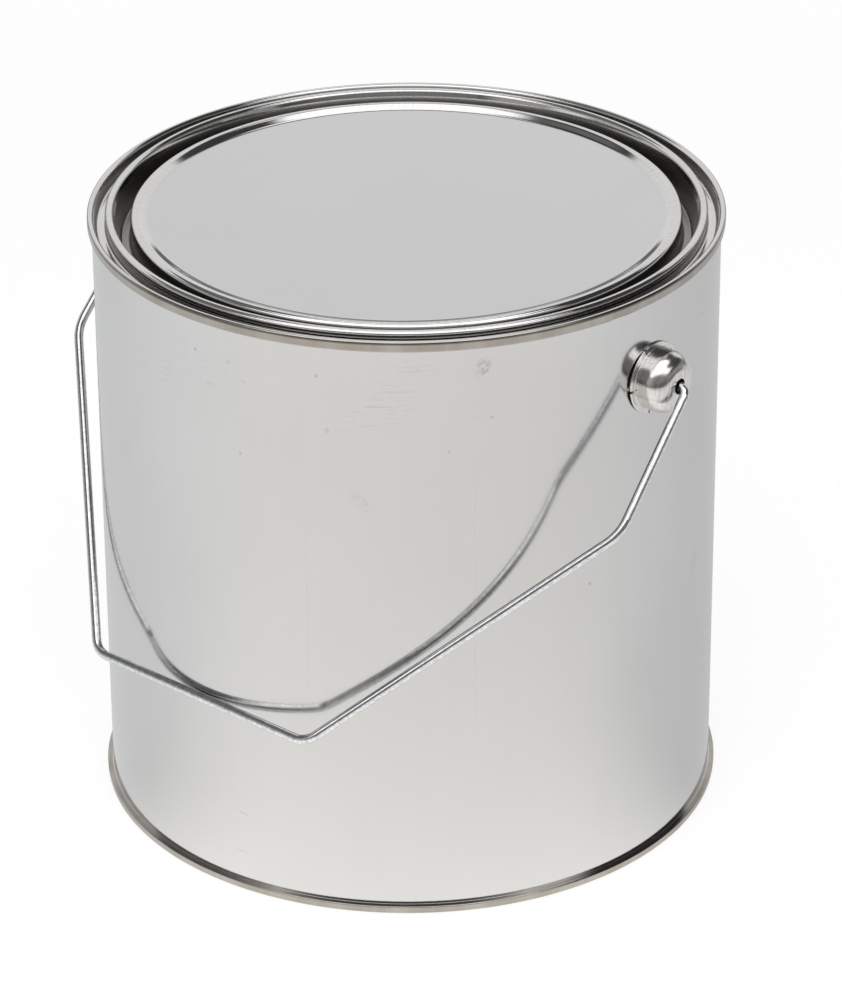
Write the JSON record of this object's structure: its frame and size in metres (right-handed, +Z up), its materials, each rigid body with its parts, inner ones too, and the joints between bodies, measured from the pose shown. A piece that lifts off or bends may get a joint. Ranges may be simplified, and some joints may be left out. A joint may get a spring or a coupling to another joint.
{
  "type": "lever-lid metal tin",
  "caption": "Bare round tinplate tin with a pressed lever lid, double-seamed rims, domed side ears and a bent wire bail that swings.",
  "frame": {"origin": "centre of the base on the floor, on the tin's own axis", "axes": "+Z up along the tin's axis, X through the two ears, the bail hanging to the -Y side"},
  "size_m": [0.1782, 0.157, 0.1545],
  "materials": {
    "tinplate_wall": "satin tinplate, lightly scuffed",
    "tinplate_bright": "bright rolled tinplate",
    "tinplate_lid": "smooth tinplate",
    "bail_wire": "bright tinned wire"
  },
  "bodies": {
    "tin": {"can_body": "tinplate_wall", "top_ring": "tinplate_bright", "lid": "tinplate_lid", "bottom_end": "tinplate_wall", "ear_right": "tinplate_bright", "ear_left": "tinplate_bright"},
    "bail": {"bail": "bail_wire"}
  },
  "joints": [
    {"name": "bail_swing", "type": "hinge", "parent": "tin", "child": "bail", "pos_m": [0, 0, 0.1314], "axis": [-1, 0, 0], "range_deg": [0, 272]}
  ]
}
